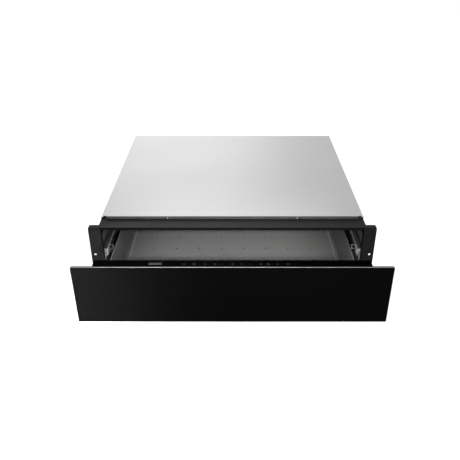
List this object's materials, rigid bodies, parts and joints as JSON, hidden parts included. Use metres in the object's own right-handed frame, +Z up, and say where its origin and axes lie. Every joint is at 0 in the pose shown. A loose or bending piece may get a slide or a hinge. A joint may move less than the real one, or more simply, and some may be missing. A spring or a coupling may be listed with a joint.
{
  "type": "built-in warming drawer",
  "caption": "Built-in warming drawer: sheet-steel housing with black front frame, glass-fronted heated drawer on telescopic ball-bearing slides.",
  "frame": {"origin": "middle of the housing's underside", "axes": "+X to the right seen from the front, +Y from the glass front to the rear, +Z up"},
  "size_m": [0.595, 0.6584, 0.1325],
  "materials": {
    "galvanised_steel": "galvanised sheet, fine spangle",
    "black_painted_steel": "satin black powder coat",
    "stainless_steel": "fine brushed stainless steel",
    "zinc_plated_steel": "bright zinc plate",
    "black_glass": "polished, printed black behind",
    "satin_aluminium": "satin anodised",
    "black_control_panel": "glossy black",
    "smoked_window": "glossy smoke grey",
    "circuit_board": "green solder mask",
    "insulation": "pale mineral board",
    "heater_sheath": "dark oxidised steel",
    "black_plastic": "moulded black plastic",
    "grey_plastic": "moulded grey acetal",
    "ivory_plastic": "moulded ivory plastic",
    "aluminium_rotor": "pressed aluminium",
    "black_rubber": "soft black rubber"
  },
  "bodies": {
    "housing": {"front_frame": "black_painted_steel", "frame_screw_left": "zinc_plated_steel", "frame_screw_right": "zinc_plated_steel", "housing_body": "galvanised_steel", "top_cover": "galvanised_steel", "rear_panel": "galvanised_steel", "cable_gland": "black_plastic", "terminal_block": "ivory_plastic", "power_board": "circuit_board", "spacer_rail_left": "galvanised_steel", "spacer_rail_right": "galvanised_steel", "slide_outer_left": "zinc_plated_steel", "slide_outer_right": "zinc_plated_steel", "latch_body_left": "black_plastic", "latch_body_right": "black_plastic"},
    "drawer": {"front_glass": "black_glass", "front_trim": "satin_aluminium", "front_box": "black_painted_steel", "control_strip": "black_control_panel", "display_window": "smoked_window", "control_board": "circuit_board", "tray": "stainless_steel", "floor_plate": "stainless_steel", "insulation_board": "insulation", "heating_element": "heater_sheath", "temperature_sensor": "zinc_plated_steel", "thermal_cutout": "black_plastic", "side_carrier_left": "black_painted_steel", "side_carrier_right": "black_painted_steel", "slide_inner_left": "zinc_plated_steel", "slide_inner_right": "zinc_plated_steel", "latch_striker_left": "zinc_plated_steel", "latch_striker_right": "zinc_plated_steel", "fan_guard": "stainless_steel", "fan_case": "galvanised_steel", "fan_motor": "black_plastic", "bumper_low_left": "black_rubber", "bumper_low_right": "black_rubber", "bumper_high_left": "black_rubber", "bumper_high_right": "black_rubber"},
    "fan_rotor": {"fan_rotor": "aluminium_rotor"},
    "slide_middle_left": {"slide_middle_left": "zinc_plated_steel"},
    "outer_ball_cage_left": {"outer_ball_cage_left": "zinc_plated_steel"},
    "inner_ball_cage_left": {"inner_ball_cage_left": "zinc_plated_steel"},
    "latch_pawl_left": {"latch_pawl_left": "grey_plastic"},
    "slide_middle_right": {"slide_middle_right": "zinc_plated_steel"},
    "outer_ball_cage_right": {"outer_ball_cage_right": "zinc_plated_steel"},
    "inner_ball_cage_right": {"inner_ball_cage_right": "zinc_plated_steel"},
    "latch_pawl_right": {"latch_pawl_right": "grey_plastic"}
  },
  "joints": [
    {"name": "drawer_slide", "type": "slide", "parent": "housing", "child": "drawer", "axis": [0, -1, 0], "range_m": [-0.133, 0.267]},
    {"name": "fan_spin", "type": "hinge", "parent": "drawer", "child": "fan_rotor", "pos_m": [0, 0.0962, 0.062], "axis": [0, 1, 0], "continuous": true},
    {"name": "slide_middle_left_slide", "type": "slide", "parent": "housing", "child": "slide_middle_left", "axis": [0, -1, 0], "range_m": [-0.0665, 0.1335]},
    {"name": "outer_ball_cage_left_slide", "type": "slide", "parent": "housing", "child": "outer_ball_cage_left", "axis": [0, -1, 0], "range_m": [-0.03325, 0.06675]},
    {"name": "inner_ball_cage_left_slide", "type": "slide", "parent": "housing", "child": "inner_ball_cage_left", "axis": [0, -1, 0], "range_m": [-0.09975, 0.20025]},
    {"name": "latch_pawl_left_swing", "type": "hinge", "parent": "housing", "child": "latch_pawl_left", "pos_m": [-0.106, 0.236, 0.062], "axis": [0, 0, -1], "range_deg": [0, 24]},
    {"name": "slide_middle_right_slide", "type": "slide", "parent": "housing", "child": "slide_middle_right", "axis": [0, -1, 0], "range_m": [-0.0665, 0.1335]},
    {"name": "outer_ball_cage_right_slide", "type": "slide", "parent": "housing", "child": "outer_ball_cage_right", "axis": [0, -1, 0], "range_m": [-0.03325, 0.06675]},
    {"name": "inner_ball_cage_right_slide", "type": "slide", "parent": "housing", "child": "inner_ball_cage_right", "axis": [0, -1, 0], "range_m": [-0.09975, 0.20025]},
    {"name": "latch_pawl_right_swing", "type": "hinge", "parent": "housing", "child": "latch_pawl_right", "pos_m": [0.106, 0.236, 0.062], "axis": [0, 0, 1], "range_deg": [0, 24]}
  ],
  "couplings": [
    {"joint": "slide_middle_left_slide", "follows": "drawer_slide", "ratio": 0.5},
    {"joint": "outer_ball_cage_left_slide", "follows": "drawer_slide", "ratio": 0.25},
    {"joint": "inner_ball_cage_left_slide", "follows": "drawer_slide", "ratio": 0.75},
    {"joint": "slide_middle_right_slide", "follows": "drawer_slide", "ratio": 0.5},
    {"joint": "outer_ball_cage_right_slide", "follows": "drawer_slide", "ratio": 0.25},
    {"joint": "inner_ball_cage_right_slide", "follows": "drawer_slide", "ratio": 0.75}
  ]
}
